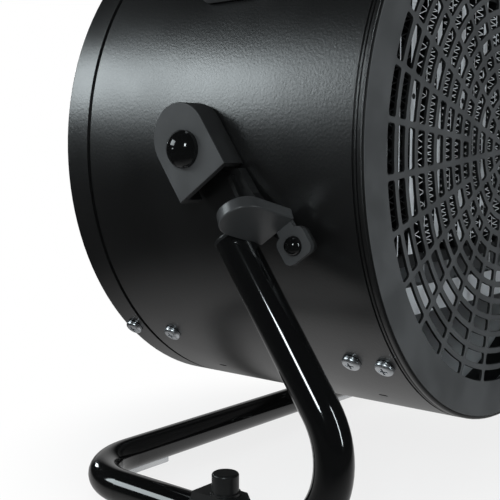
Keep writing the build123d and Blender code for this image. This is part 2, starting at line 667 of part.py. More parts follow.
with BuildPart() as cord_gland:
    with BuildSketch(behind(GUARD_FRONT - GLAND_FLANGE, 0, -CONTROL_DROP)):
        Circle(GLAND_R)
    extrude(amount=GLAND_FLANGE - NEST_GAP)
    with BuildSketch(behind(GUARD_FRONT - NEST_GAP, 0, -CONTROL_DROP)):
        Circle(GLAND_NECK_R)
    extrude(amount=GUARD_THICKNESS + 2 * NEST_GAP)
    with BuildSketch(behind(DRUM_DEPTH + NEST_GAP, 0, -CONTROL_DROP)):
        Circle(GLAND_R)
    extrude(amount=GLAND_FLANGE, taper=GLAND_TAPER)
    with BuildSketch(behind(GUARD_FRONT - GLAND_FLANGE, 0, -CONTROL_DROP)):
        Circle(GLAND_BORE_R)
    extrude(amount=2 * GLAND_FLANGE + GUARD_THICKNESS + GLAND_R, mode=Mode.SUBTRACT)
save(cord_gland.part, "cord_gland")

with BuildPart() as terminal_block:
    seat_r = FRAME_R - SPIDER_SHEET
    block_low = -math.sqrt(seat_r**2 - (BLOCK_WIDTH / 2) ** 2) + NEST_GAP
    with BuildSketch(behind(SPIDER_SCREW_DEPTH - BLOCK_DEPTH / 2, z=block_low + BLOCK_HEIGHT / 2)):
        Rectangle(BLOCK_WIDTH, BLOCK_HEIGHT)
    extrude(amount=BLOCK_DEPTH)
    top = terminal_block.faces().sort_by(Axis.Z)[-1]
    with Locations(Plane(top)):
        with GridLocations(BLOCK_WIDTH / BLOCK_WAYS, 0, BLOCK_WAYS, 1):
            Hole(BLOCK_SCREW_R, depth=BLOCK_HEIGHT / 2)
save(terminal_block.part, "terminal_block")

# Carry handle: a strap bent over the top of the drum, screwed down at two feet
HANDLE_FOOT_R = DRUM_R + NEST_GAP + HANDLE_STRAP / 2
FOOT_TURN = HANDLE_FOOT_HIGH - HANDLE_FOOT_LOW
with BuildPart() as carry_handle:
    with BuildSketch(behind(PIVOT_DEPTH - HANDLE_WIDTH / 2)):
        with BuildLine():
            near_foot = CenterArc((0, 0), HANDLE_FOOT_R, HANDLE_FOOT_LOW, FOOT_TURN)
            far_foot = CenterArc((0, 0), HANDLE_FOOT_R, 180 - HANDLE_FOOT_LOW, -FOOT_TURN)
            crown = (0, DRUM_R + HANDLE_RISE - HANDLE_STRAP / 2)
            ThreePointArc(near_foot @ 1, crown, far_foot @ 1)
            knees = vertices().group_by(Axis.Y)[1]
            fillet(knees, HANDLE_KNEE_R)
        trace(line_width=HANDLE_STRAP)
    extrude(amount=HANDLE_WIDTH)
    toes = carry_handle.faces().filter_by(GeomType.PLANE).sort_by(Axis.Z)[:2].edges()
    fillet(toes.filter_by(Axis.Y, reverse=True), HANDLE_TOE_R)
    strap_sides = carry_handle.faces().filter_by(Axis.Y).sort_by(Axis.Y)
    fillet(strap_sides[0].edges() + strap_sides[-1].edges(), HANDLE_EDGE)
    for seat in handle_seats(DRUM_R + HANDLE_STRAP + NEST_GAP):
        with Locations(seat):
            Hole(SCREW_SHANK_R + NEST_GAP, depth=2 * HANDLE_STRAP)
save(carry_handle.part, "carry_handle")

# Pan-head screws: four rows round the drum and one set in the handle's feet
for label, depth in (
    ("bezel_screws", BEZEL_SCREW_DEPTH),
    ("frame_screws", FRAME_SCREW_DEPTH),
    ("spider_screws", SPIDER_SCREW_DEPTH),
    ("cover_screws", COVER_SCREW_DEPTH),
):
    with BuildPart() as screw_row:
        for angle in SCREW_ANGLES:
            screw(on_drum(angle, depth, DRUM_R + NEST_GAP), SCREW_LENGTH)
    save(screw_row.part, label)

with BuildPart() as handle_screws:
    for seat in handle_seats(DRUM_R + HANDLE_STRAP + 2 * NEST_GAP):
        screw(seat, HANDLE_STRAP + SCREW_LENGTH)
save(handle_screws.part, "handle_screws")

# Pivots: a flanged bush in each side of the casing, and a domed bolt with its nut inside the drum
with BuildPart() as pivot_bush:
    with BuildSketch(on_arm(DRUM_R - BUSH_LENGTH)):
        Circle(PIVOT_BOLT_R + BUSH_WALL)
    extrude(amount=BUSH_LENGTH + NEST_GAP)
    flange_out = math.sqrt(CASING_IN**2 - BUSH_FLANGE_R**2) - NEST_GAP
    with BuildSketch(on_arm(flange_out - BUSH_FLANGE)):
        Circle(BUSH_FLANGE_R)
    extrude(amount=BUSH_FLANGE)
    with BuildSketch(on_arm(DRUM_R - BUSH_LENGTH)):
        Circle(PIVOT_BOLT_R + PIVOT_GAP)
    extrude(amount=2 * BUSH_LENGTH, mode=Mode.SUBTRACT)
save_pair(pivot_bush, "pivot_bush")

NUT_OUT = DRUM_R - BUSH_LENGTH - NUT_GAP
with BuildPart() as pivot_nut:
    with BuildSketch(on_arm(NUT_OUT - NUT_HEIGHT)):
        RegularPolygon(NUT_FLATS / 2, 6, major_radius=False)
        Circle(PIVOT_BOLT_R, mode=Mode.SUBTRACT)
    extrude(amount=NUT_HEIGHT)
save_pair(pivot_nut, "pivot_nut")

with BuildPart() as pivot_bolt:
    with BuildSketch(Plane(origin=(-COVER_OUT, PIVOT_Y, AXIS_Z), x_dir=(0, 1, 0), z_dir=(0, 0, 1))):
        shank_end = NUT_OUT - NUT_HEIGHT - COVER_OUT
        cap_radius = round_cap(DOME_R, DOME_HEIGHT - DOME_COLLAR)
        with BuildLine():
            Polyline((0, DOME_HEIGHT), (0, shank_end), (PIVOT_BOLT_R, shank_end), (PIVOT_BOLT_R, 0))
            Polyline((PIVOT_BOLT_R, 0), (DOME_R, 0), (DOME_R, DOME_COLLAR))
            RadiusArc((DOME_R, DOME_COLLAR), (0, DOME_HEIGHT), -cap_radius)
        make_face()
    revolve(axis=Axis((0, PIVOT_Y, AXIS_Z), (1, 0, 0)))
save_pair(pivot_bolt, "pivot_bolt")

# Tilt arm: a pressed strap from the pivot eye down to the lug's tab, stiffened by two ribs
near_edge = [(reach, near) for reach, near, far in NECK_ROWS]
far_edge = [(reach, far) for reach, near, far in reversed(NECK_ROWS)]
neck_end = (TAB_REACH - TAB_LENGTH / 2 + TAB_CORNER, TAB_WIDTH / 2 - TAB_CORNER)
with BuildPart() as tilt_arm:
    with BuildSketch(on_arm(ARM_OUT)):
        with BuildLine():
            Polyline(
                (0, -ARM_EYE_R / 2),
                *near_edge,
                (neck_end[0], TAB_SIDE - neck_end[1]),
                (neck_end[0], TAB_SIDE + neck_end[1]),
                *far_edge,
                (0, ARM_EYE_R / 2),
                close=True,
            )
        make_face()
        Circle(ARM_EYE_R)
        Circle(PIVOT_BOLT_R + PIVOT_GAP, mode=Mode.SUBTRACT)
        with Locations((TAB_REACH, TAB_SIDE)):
            RectangleRounded(TAB_LENGTH - 2 * TAB_INSET, TAB_WIDTH - 2 * TAB_INSET, TAB_CORNER - TAB_INSET)
            Circle(TAB_SCREW_R, mode=Mode.SUBTRACT)
    extrude(amount=ARM_SHEET)
    with BuildSketch(on_arm(TAB_OUT)):
        for column, width in ((1, RIB_WIDTH), (2, -RIB_WIDTH)):
            outer = [(row[0], row[column]) for row in RIB_ROWS]
            inner = [(row[0], row[column] + width) for row in reversed(RIB_ROWS)]
            with BuildLine():
                Polyline(*outer, *inner, close=True)
            make_face()
    extrude(amount=RIB_HEIGHT)
save_pair(tilt_arm, "tilt_arm")

# Stand lug: a screwed tab on the strap with a thick rounded wing standing out, coped round the tube's end
tilt = math.radians(LUG_TILT)
wing_out = Vector(-math.cos(tilt), 0, 0) - ARM_DOWN * math.sin(tilt)
wing_origin = Vector(-TAB_OUT, PIVOT_Y, AXIS_Z) + ARM_DOWN * LUG_REACH
with BuildPart() as stand_lug:
    with BuildSketch(Plane(origin=wing_origin, x_dir=wing_out, z_dir=wing_out.cross(ARM_SIDE))):
        wing_start = LUG_THICKNESS * math.tan(tilt)
        with Locations((wing_start, LUG_SIDE)):
            Rectangle(LUG_LENGTH - wing_start, LUG_WIDTH, align=(Align.MIN, Align.MIN))
        fillet(vertices().sort_by(Axis.X)[-2:], LUG_ROUND)
    extrude(amount=LUG_THICKNESS)
    wing_faces = stand_lug.faces().filter_by(GeomType.PLANE).sort_by(UP_ARM)
    fillet(wing_faces[0].edges() + wing_faces[-1].edges(), LUG_EDGE)
    with BuildSketch(on_arm(TAB_OUT)):
        with Locations((TAB_REACH, TAB_SIDE)):
            RectangleRounded(TAB_LENGTH, TAB_WIDTH, TAB_CORNER)
        root = LUG_REACH - LUG_THICKNESS / 2
        with Locations((root, TAB_SIDE)):
            Rectangle(neck_end[0] - root, 2 * neck_end[1], align=(Align.MIN, Align.CENTER))
        with Locations((TAB_REACH, TAB_SIDE)):
            Circle(TAB_SCREW_R + PIVOT_GAP, mode=Mode.SUBTRACT)
    extrude(amount=ARM_SHEET)
    with BuildSketch(Plane(origin=TUBE_END, x_dir=(1, 0, 0), z_dir=ARM_DOWN)):
        Circle(TUBE_R + TUBE_GAP)
    extrude(amount=LUG_LENGTH, both=True, mode=Mode.SUBTRACT)
save_pair(stand_lug, "stand_lug")

with BuildPart() as arm_screws:
    screw_middle = Vector(-LUG_OUT, PIVOT_Y, AXIS_Z) + ARM_DOWN * TAB_REACH + ARM_SIDE * TAB_SIDE
    with BuildSketch(Plane(origin=screw_middle, x_dir=(0, 1, 0), z_dir=(0, 0, 1))):
        shank_end = ARM_OUT - LUG_OUT
        cap_radius = round_cap(TAB_DOME_R, TAB_DOME_HEIGHT)
        with BuildLine():
            Polyline((0, TAB_DOME_HEIGHT), (0, shank_end), (TAB_SCREW_R, shank_end), (TAB_SCREW_R, 0))
            Line((TAB_SCREW_R, 0), (TAB_DOME_R, 0))
            RadiusArc((TAB_DOME_R, 0), (0, TAB_DOME_HEIGHT), -cap_radius)
        make_face()
    revolve(axis=Axis(screw_middle, (1, 0, 0)))
    mirror(about=Plane.YZ)
save(arm_screws.part, "arm_screws")

# Pivot cover: a moulded cap over the arm's eye, open at its foot, with a boss round the bolt
with BuildPart() as pivot_cover:
    with BuildSketch(on_arm(ARM_OUT)) as cover_outline:
        with Locations((-COVER_ARC_BACK, 0)):
            Circle(COVER_WIDTH / 2)
            Rectangle(COVER_ARC_BACK + COVER_FOOT, COVER_WIDTH, align=(Align.MIN, Align.CENTER))
    extrude(amount=COVER_OUT - ARM_OUT)
    face_edges = pivot_cover.faces().sort_by(Axis.X)[0].edges()
    fillet(face_edges, COVER_EDGE)
    with BuildSketch(on_arm(ARM_OUT)):
        with Locations((-COVER_ARC_BACK, 0)):
            Circle(COVER_WIDTH / 2 - COVER_WALL)
            Rectangle(COVER_ARC_BACK + 2 * COVER_FOOT, COVER_WIDTH - 2 * COVER_WALL, align=(Align.MIN, Align.CENTER))
    extrude(amount=COVER_OUT - ARM_OUT - COVER_WALL, mode=Mode.SUBTRACT)
    with BuildSketch(on_arm(TAB_OUT)):
        Circle(COVER_BOSS_R)
    extrude(amount=COVER_OUT - TAB_OUT - COVER_WALL / 2)
    with BuildSketch(on_arm(ARM_OUT)):
        Circle(PIVOT_BOLT_R + PIVOT_GAP)
    extrude(amount=COVER_STANDOFF, mode=Mode.SUBTRACT)
save_pair(pivot_cover, "pivot_cover")

# Tube stand: one bent tube, from the left arm down, round under the back of the drum and up again
FLOOR_Z = TUBE_R + FOOT_SOLE
left_corners = [
    TUBE_END,
    Vector(-STAND_HALF_WIDTH, PIVOT_Y + FRONT_CORNER, FLOOR_Z),
    Vector(-STAND_HALF_WIDTH, PIVOT_Y + CROSS_BACK, FLOOR_Z),
]
right_corners = [Vector(-corner.X, corner.Y, corner.Z) for corner in reversed(left_corners)]
with BuildPart() as stand_tube:
    with BuildLine() as tube_path:
        FilletPolyline(
            *left_corners,
            *right_corners,
            radius=[FRONT_BEND_R, REAR_BEND_R, REAR_BEND_R, FRONT_BEND_R],
        )
    with BuildSketch(Plane(origin=TUBE_END, x_dir=(1, 0, 0), z_dir=ARM_DOWN)):
        Circle(TUBE_R)
        Circle(TUBE_R - TUBE_WALL, mode=Mode.SUBTRACT)
    sweep()
save(stand_tube.part, "stand_tube")

with BuildPart() as tube_plugs:
    end_plane = Plane(origin=TUBE_END, x_dir=(1, 0, 0), z_dir=-ARM_DOWN)
    with BuildSketch(end_plane):
        Circle(TUBE_R)
    extrude(amount=PLUG_RIM)
    fillet(tube_plugs.edges().sort_by(UP_ARM)[-1], PLUG_RIM / 2)
    with BuildSketch(end_plane):
        Circle(TUBE_R - TUBE_WALL - TUBE_GAP)
    extrude(amount=-PLUG_LENGTH)
    mirror(about=Plane.YZ)
save(tube_plugs.part, "tube_plugs")

# Feet: a moulded saddle with an upright post on each floor run, and two pads under the cross tube
SADDLE_R = TUBE_R + FOOT_WALL
SADDLE_TOP = FLOOR_Z + SADDLE_R + FOOT_CROWN
SADDLE_Y = PIVOT_Y + FOOT_BACK
with BuildPart() as foot_saddles:
    saddle_end = Vector(-STAND_HALF_WIDTH, SADDLE_Y + FOOT_REAR, FLOOR_Z)
    with BuildSketch(Plane(origin=saddle_end, x_dir=(1, 0, 0), z_dir=(0, -1, 0))):
        Circle(SADDLE_R)
        Rectangle(2 * (POST_R + POST_COLLAR), SADDLE_R + FOOT_CROWN, align=(Align.CENTER, Align.MIN))
        Rectangle(2 * SADDLE_R, SADDLE_R, align=(Align.CENTER, Align.MAX))
        with Locations((0, -FLOOR_Z)):
            Rectangle(4 * SADDLE_R, SADDLE_R, align=(Align.CENTER, Align.MAX), mode=Mode.SUBTRACT)
    extrude(amount=FOOT_FRONT + FOOT_REAR)
    with BuildSketch(Plane(origin=(-STAND_HALF_WIDTH, SADDLE_Y, 0), x_dir=(0, 1, 0), z_dir=(1, 0, 0))):
        with BuildLine():
            Polyline(
                (-FOOT_FRONT, 0),
                (FOOT_REAR, 0),
                (FOOT_REAR, FLOOR_Z),
                (FOOT_REAR - FOOT_REAR_SLOPE, SADDLE_TOP),
                (FOOT_FRONT_SLOPE - FOOT_FRONT, SADDLE_TOP),
                (-FOOT_FRONT, FLOOR_Z),
                close=True,
            )
        make_face()
    extrude(amount=2 * SADDLE_R, both=True, mode=Mode.INTERSECT)
    with BuildSketch(Plane(origin=saddle_end, x_dir=(1, 0, 0), z_dir=(0, -1, 0))):
        Circle(TUBE_R + TUBE_GAP)
    extrude(amount=FOOT_FRONT + FOOT_REAR, mode=Mode.SUBTRACT)
    mirror(about=Plane.YZ)
save(foot_saddles.part, "foot_saddles")

with BuildPart() as foot_posts:
    for side in (-STAND_HALF_WIDTH, STAND_HALF_WIDTH):
        with BuildSketch(Plane(origin=(side, SADDLE_Y, SADDLE_TOP))):
            Circle(POST_R + POST_COLLAR)
        extrude(amount=POST_COLLAR_HEIGHT)
        with BuildSketch(Plane(origin=(side, SADDLE_Y, SADDLE_TOP + POST_COLLAR_HEIGHT))):
            Circle(POST_R)
        extrude(amount=POST_HEIGHT - POST_COLLAR_HEIGHT)
    fillet(foot_posts.edges().group_by(Axis.Z)[-1], POST_EDGE)
save(foot_posts.part, "foot_posts")

with BuildPart() as rear_pads:
    with Locations((-REAR_PAD_SPREAD, 0), (REAR_PAD_SPREAD, 0)):
        with Locations((0, PIVOT_Y + CROSS_BACK)):
            Box(REAR_PAD_LENGTH, REAR_PAD_WIDTH, REAR_PAD_HEIGHT, align=(Align.CENTER, Align.CENTER, Align.MIN))
    with BuildSketch(Plane(origin=(0, PIVOT_Y + CROSS_BACK, FLOOR_Z), x_dir=(0, 1, 0), z_dir=(1, 0, 0))):
        Circle(TUBE_R + TUBE_GAP)
    extrude(amount=STAND_HALF_WIDTH, both=True, mode=Mode.SUBTRACT)
save(rear_pads.part, "rear_pads")
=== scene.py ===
"""Looks of a drum fan heater with a ceramic element, on a bent tube stand.

Metres, +Z up, the outlet faces -Y.
Places and sizes that the solids already have are read from the frame.
"""

import math

import bmesh
import bpy
from mathutils import Matrix, Vector
from mathutils.geometry import tessellate_polygon


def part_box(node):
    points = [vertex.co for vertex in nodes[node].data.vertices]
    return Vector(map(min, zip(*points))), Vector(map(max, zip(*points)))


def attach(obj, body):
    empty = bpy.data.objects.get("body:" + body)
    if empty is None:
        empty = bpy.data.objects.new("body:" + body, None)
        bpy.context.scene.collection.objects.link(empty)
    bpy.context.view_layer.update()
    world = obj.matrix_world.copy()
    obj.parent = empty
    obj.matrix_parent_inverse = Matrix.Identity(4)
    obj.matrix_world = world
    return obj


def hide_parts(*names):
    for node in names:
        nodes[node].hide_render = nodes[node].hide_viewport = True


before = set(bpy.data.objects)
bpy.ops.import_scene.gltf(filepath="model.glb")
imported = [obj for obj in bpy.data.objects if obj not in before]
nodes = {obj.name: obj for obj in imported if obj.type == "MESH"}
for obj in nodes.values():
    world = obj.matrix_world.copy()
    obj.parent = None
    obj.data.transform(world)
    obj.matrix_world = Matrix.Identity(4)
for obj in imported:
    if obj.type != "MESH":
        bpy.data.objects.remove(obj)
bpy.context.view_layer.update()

MM = 0.001

# Drum, read from the frame
casing_low, casing_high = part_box("drum_casing")
grille_low, grille_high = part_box("front_grille")
DRUM_R = (casing_high.x - casing_low.x) / 2
AXIS_Z = (casing_low.z + casing_high.z) / 2
FRONT_Y = grille_low.y
BEZEL_R = (grille_high.x - grille_low.x) / 2
SPIGOT_END = grille_high.y - FRONT_Y
DRUM_MIDDLE = Vector((0, (FRONT_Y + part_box("rear_cover")[1].y) / 2, AXIS_Z))

# Casing and front grille
BEZEL_DEPTH = 3.9 * MM
BEZEL_EDGE = 0.5 * MM
SPIGOT_WALL = 1.5 * MM
FIELD_R = 85.9 * MM
GRILLE_THICKNESS = 1.0 * MM
SPOKES = 30
HUB_SPOKES = 15
SLOT_ROWS = 13
HUB_ROWS = 4
ROW_PITCH = FIELD_R / (SLOT_ROWS + 1)
SPOKE_WIDTH = 2.0 * MM
RING_BAR = 2.1 * MM
SLOT_CORNER = 1.0 * MM
SLOT_EDGE = 0.2 * MM
ARC_STEPS = 8
CORNER_STEPS = 4
OUTER_STEPS = 6
INNER_STEPS = 4
EDGE_STEPS = 6
CORNER_SHARE = 0.8

# Heating element
BAR_COUNT = 8
BAR_WIDTH = 3.6 * MM
bars_low, bars_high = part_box("ptc_bars")
BAR_PITCH = (bars_high.x - bars_low.x - BAR_WIDTH) / (BAR_COUNT - 1)
FIN_STEP = 1.15 * MM
COARSE_FIN_STEP = 2.05 * MM
FIN_SHEET = 0.34 * MM
FOLD_SHARP = 20
SPRING_COLUMNS = 2
STUD_R = 1.0 * MM
STUD_PITCH = 27.0 * MM
STUD_HEIGHT = 0.25 * MM
STUD_RIM = 0.15 * MM
STUD_FLAT_R = 0.7 * MM
STUD_STEPS = 16
STUD_START = 14.0 * MM
BAR_EDGE = 0.4 * MM

# Screws
SCREW_ANGLES = (45, 135, 225, 315)
HEAD_R = 3.4 * MM
HEAD_HEIGHT = 2.0 * MM
HEAD_RIM = 0.7 * MM
HEAD_FLAT_R = 2.1 * MM
HEAD_STEPS = 32
SHANK_R = 1.6 * MM
SHANK_LENGTH = 5.0 * MM
SEAT_GAP = 0.15 * MM
CROSS_LENGTH = 1.75 * MM
CROSS_WIDTH = 0.36 * MM
CROSS_DEPTH = 1.1 * MM
CROSS_FLOOR = (0.55, 0.7)
HANDLE_SCREW_ANGLE = 36
HANDLE_SCREW_SPREAD = 12.0 * MM
HANDLE_SCREW_LENGTH = 10.0 * MM
HANDLE_STRAP = 5.0 * MM

# Rear pads
PAD_SIZE = Vector((22, 5, 1.75)) * MM
PAD_CORNER = 2.0 * MM

# Camera and stage
CAMERA_PLACE = Vector((-0.3316, -0.2226, 0.1268))
CAMERA_YAW = 0.6935
CAMERA_PITCH = -0.1005
CAMERA_LENS = 67.85
FLOOR_R = 0.62
FLOOR_STEPS = 128
FLOOR_GREY = 0.8
FLOOR_LIFT = 0.79
FLOOR_FADE = (0.08, 0.16)
FLOOR_GLOSS = (0.5, 0.02)
FLOOR_GLOSS_FADE = (0.03, 0.23)
BACKDROP_YAW = 0.75
BACKDROP_EDGES = (0.86, 0.98)
BACKDROP_LIGHT = 0.35
LAMP_COLOUR = (0.88, 0.97, 1.0)
AMBIENT = 0.55
STUDIO_DARK = 0.007

# Lamps round the drum: azimuth and elevation in degrees, distance, width, height, radiance
LAMPS = {
    "back_softbox": (132, 22, 1.1, 0.52, 0.33, 5.4),
    "side_key": (-154, 20, 1.1, 0.12, 0.24, 26.0),
    "front_strip": (-91, 14, 1.0, 0.07, 0.55, 16.0),
    "rear_spot": (81, 10, 1.1, 0.1, 0.1, 20.0),
    "top_softbox": (40, 80, 1.2, 0.5, 0.5, 1.0),
}


def add_piece(name, mesh, material, body, replaced=()):
    """Links a finished mesh as a piece on a body, with its finish and the nodes it stands for."""
    piece = bpy.data.objects.new(name, mesh)
    bpy.context.scene.collection.objects.link(piece)
    mesh.materials.append(material)
    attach(piece, body)
    if replaced:
        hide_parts(*replaced)
    return piece


def finish_mesh(bm, name, sharp=35):
    """Welds and smooths a bmesh, keeps its sharp edges and returns it as a mesh."""
    bmesh.ops.remove_doubles(bm, verts=bm.verts, dist=1e-6)
    bmesh.ops.recalc_face_normals(bm, faces=bm.faces)
    mesh = bpy.data.meshes.new(name)
    bm.to_mesh(mesh)
    bm.free()
    mesh.shade_smooth()
    mesh.set_sharp_from_angle(angle=math.radians(sharp))
    return mesh


def round_edges(bm, edges, radius, steps):
    bmesh.ops.bevel(
        bm, geom=list(edges), offset=radius, segments=steps, affect="EDGES", profile=0.5
    )


def weight_normals(piece):
    """Keeps flat faces flat beside small rounded edges."""
    modifier = piece.modifiers.new("flat_faces", "WEIGHTED_NORMAL")
    modifier.keep_sharp = True


def on_drum(radius, angle, depth):
    """A point round the drum's axis, at an angle from +X and a depth behind the front face."""
    return Vector((radius * math.cos(angle), FRONT_Y + depth, AXIS_Z + radius * math.sin(angle)))


def drum_frame(angle, y, radius):
    """The frame of a screw on the drum: its z points outwards."""
    outward = Vector((math.cos(angle), 0, math.sin(angle)))
    along = Vector((0, 1, 0))
    across = outward.cross(along)
    place = Vector((0, y, AXIS_Z)) + outward * radius
    return Matrix.Translation(place) @ Matrix((along, across, outward)).transposed().to_4x4()


def arc(start, end, steps):
    """Evenly spaced values from start to end, both included."""
    return [start + (end - start) * step / steps for step in range(steps + 1)]


def spin(bm, profile, place, segments, closed=True):
    """Turns a profile of (radius, height) points round an axis.

    place gives the point for a radius, an angle and a height.
    """
    rings = []
    for step in range(segments):
        angle = 2 * math.pi * step / segments
        rings.append([bm.verts.new(place(radius, angle, height)) for radius, height in profile])
    count = len(profile)
    spans = count if closed else count - 1
    for step in range(segments):
        near, far = rings[step], rings[(step + 1) % segments]
        for index in range(spans):
            following = (index + 1) % count
            bm.faces.new((near[index], near[following], far[following], far[index]))


def bridge(bm, first, second):
    """Joins two closed loops of vertices with quads."""
    count = len(first)
    for index in range(count):
        following = (index + 1) % count
        bm.faces.new((first[index], first[following], second[following], second[index]))


def fill_between(bm, outer, inner, flatten=Matrix()):
    """Fills the flat area between a closed loop and a hole in it."""
    loops = [[flatten @ vertex.co for vertex in loop] for loop in (outer, inner)]
    together = outer + inner
    for triangle in tessellate_polygon(loops):
        bm.faces.new([together[index] for index in triangle])


# Front grille


def polar(radius, angle):
    """A point of the grille's plane, seen from the front."""
    return radius * Vector((math.cos(angle), math.sin(angle)))


def slot_outline(inner, outer, half_turn, corner, grow):
    """The round-cornered outline of a slot between two rings and two spokes, grown by an amount."""
    along = Vector((math.cos(half_turn), math.sin(half_turn)))
    inwards = Vector((math.sin(half_turn), -math.cos(half_turn)))
    across = SPOKE_WIDTH / 2 + corner
    radius = corner + grow
    outer_reach = math.sqrt((outer - corner) ** 2 - across**2)
    inner_reach = math.sqrt((inner + corner) ** 2 - across**2)
    half = []
    for reach, towards in ((outer_reach, 1), (inner_reach, -1)):
        middle = along * reach + inwards * across
        radial = middle.normalized() * towards
        turn = math.acos(max(-1, min(1, radial.dot(-inwards))))
        corner_points = []
        side = (-inwards - radial * math.cos(turn)) / math.sin(turn)
        for swing in arc(0, turn, CORNER_STEPS):
            towards_point = radial * math.cos(swing) + side * math.sin(swing)
            corner_points.append(middle + towards_point * radius)
        half.append(corner_points if towards > 0 else corner_points[::-1])
    upper = half[0] + half[1]
    outer_turn = math.atan2(upper[0].y, upper[0].x)
    inner_turn = math.atan2(upper[-1].y, upper[-1].x)
    outer_r, inner_r = outer + grow, inner - grow
    points = [Vector((point.x, -point.y)) for point in upper[::-1]]
    points += [polar(outer_r, angle) for angle in arc(-outer_turn, outer_turn, OUTER_STEPS)[1:-1]]
    points += upper
    points += [polar(inner_r, angle) for angle in arc(inner_turn, -inner_turn, INNER_STEPS)[1:-1]]
    return points


def add_cell(bm, row, spokes, turn):
    """One cell of the grille: a slot with rounded front edges and half of each bar round it."""
    half_turn = math.pi / spokes
    outer = FIELD_R - (SLOT_ROWS - 1 - row) * ROW_PITCH
    inner = outer - ROW_PITCH + RING_BAR
    half_width = inner * math.sin(half_turn) - SPOKE_WIDTH / 2
    corner = min(SLOT_CORNER, CORNER_SHARE * half_width)

    def place(point, depth):
        radius = point.length
        return on_drum(radius, math.atan2(point.y, point.x) + turn, depth)

    loops = []
    for lean in (0, math.pi / 4, math.pi / 2):
        grow = SLOT_EDGE * (1 - math.sin(lean))
        depth = SLOT_EDGE * (1 - math.cos(lean))
        outline = slot_outline(inner, outer, half_turn, corner, grow)
        loops.append([bm.verts.new(place(point, depth)) for point in outline])
    loops.append([bm.verts.new(place(point, GRILLE_THICKNESS)) for point in outline])
    for first, second in zip(loops, loops[1:]):
        bridge(bm, first, second)
    steps = ARC_STEPS * SPOKES // spokes
    sweep = arc(turn - half_turn, turn + half_turn, steps)
    for depth, hole in ((0, loops[0]), (GRILLE_THICKNESS, loops[-1])):
        border = [on_drum(outer + RING_BAR / 2, angle, depth) for angle in sweep]
        border += [on_drum(inner - RING_BAR / 2, angle, depth) for angle in reversed(sweep)]
        fill_between(bm, [bm.verts.new(point) for point in border], hole)


def bezel_profile():
    """The bezel's section: flat face, round outer edge, spigot and the step back to the grille."""
    inner = FIELD_R + RING_BAR / 2
    points = [(inner, 0)]
    for lean in arc(0, math.pi / 2, EDGE_STEPS):
        reach = BEZEL_R - BEZEL_EDGE + BEZEL_EDGE * math.sin(lean)
        points.append((reach, BEZEL_EDGE * (1 - math.cos(lean))))
    points += [
        (BEZEL_R, SPIGOT_END),
        (BEZEL_R - SPIGOT_WALL, SPIGOT_END),
        (BEZEL_R - SPIGOT_WALL, BEZEL_DEPTH),
        (FIELD_R + RING_BAR, BEZEL_DEPTH),
        (FIELD_R + RING_BAR, GRILLE_THICKNESS),
        (inner, GRILLE_THICKNESS),
    ]
    return points


def make_grille(material):
    bm = bmesh.new()
    for row in range(SLOT_ROWS):
        spokes = HUB_SPOKES if row < HUB_ROWS else SPOKES
        start = math.pi / spokes - math.pi / SPOKES
        for step in range(spokes):
            add_cell(bm, row, spokes, start + 2 * math.pi * step / spokes)
    spin(bm, bezel_profile(), on_drum, SPOKES * ARC_STEPS, closed=False)
    hub_r = ROW_PITCH + RING_BAR / 2
    around = arc(0, 2 * math.pi, SPOKES * ARC_STEPS)[:-1]
    for depth in (0, GRILLE_THICKNESS):
        bm.faces.new([bm.verts.new(on_drum(hub_r, angle, depth)) for angle in around])
    mesh = finish_mesh(bm, "grille_plate")
    piece = add_piece("grille_plate", mesh, material, "heater", ["front_grille"])
    weight_normals(piece)


# Heating element


def make_fins(material, spring_material):
    """Folded strips between the bars: springs outermost, then a coarse fin, then fine fins."""
    fins = bmesh.new()
    springs = bmesh.new()
    low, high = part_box("fin_columns")
    columns = 2 * (BAR_COUNT - 1)
    cell_width = high.x - low.x - (BAR_COUNT - 2) * BAR_PITCH
    half = cell_width / 4 - FIN_SHEET
    for column in range(columns):
        cell, side = divmod(column, 2)
        middle = low.x + cell * BAR_PITCH + cell_width * (1 + 2 * side) / 4
        from_side = min(column, columns - 1 - column)
        step = COARSE_FIN_STEP if from_side <= SPRING_COLUMNS else FIN_STEP
        folds = int((high.z - low.z) / step)
        add_strip(springs if from_side < SPRING_COLUMNS else fins, middle, half, low, high, folds)
    mesh = finish_mesh(fins, "fin_strips", sharp=FOLD_SHARP)
    add_piece("fin_strips", mesh, material, "heater", ["fin_columns"])
    mesh = finish_mesh(springs, "spring_strips", sharp=FOLD_SHARP)
    add_piece("spring_strips", mesh, spring_material, "heater")


def add_strip(bm, middle, half, low, high, folds):
    """One zigzag strip from the bottom to the top of a column, as deep as the element."""
    step = (high.z - low.z) / folds
    rails = []
    for fold in range(folds + 1):
        side = half if fold % 2 else -half
        height = low.z + fold * step
        corners = []
        for y in (low.y, high.y):
            for offset in (-FIN_SHEET / 2, FIN_SHEET / 2):
                lift = min(max(height + offset, low.z), high.z)
                corners.append(bm.verts.new((middle + side, y, lift)))
        rails.append(corners)
    for lower, upper in zip(rails, rails[1:]):
        for first, second in ((0, 1), (1, 3), (3, 2), (2, 0)):
            bm.faces.new((lower[first], lower[second], upper[second], upper[first]))
    for end in (rails[0], rails[-1]):
        bm.faces.new((end[0], end[1], end[3], end[2]))


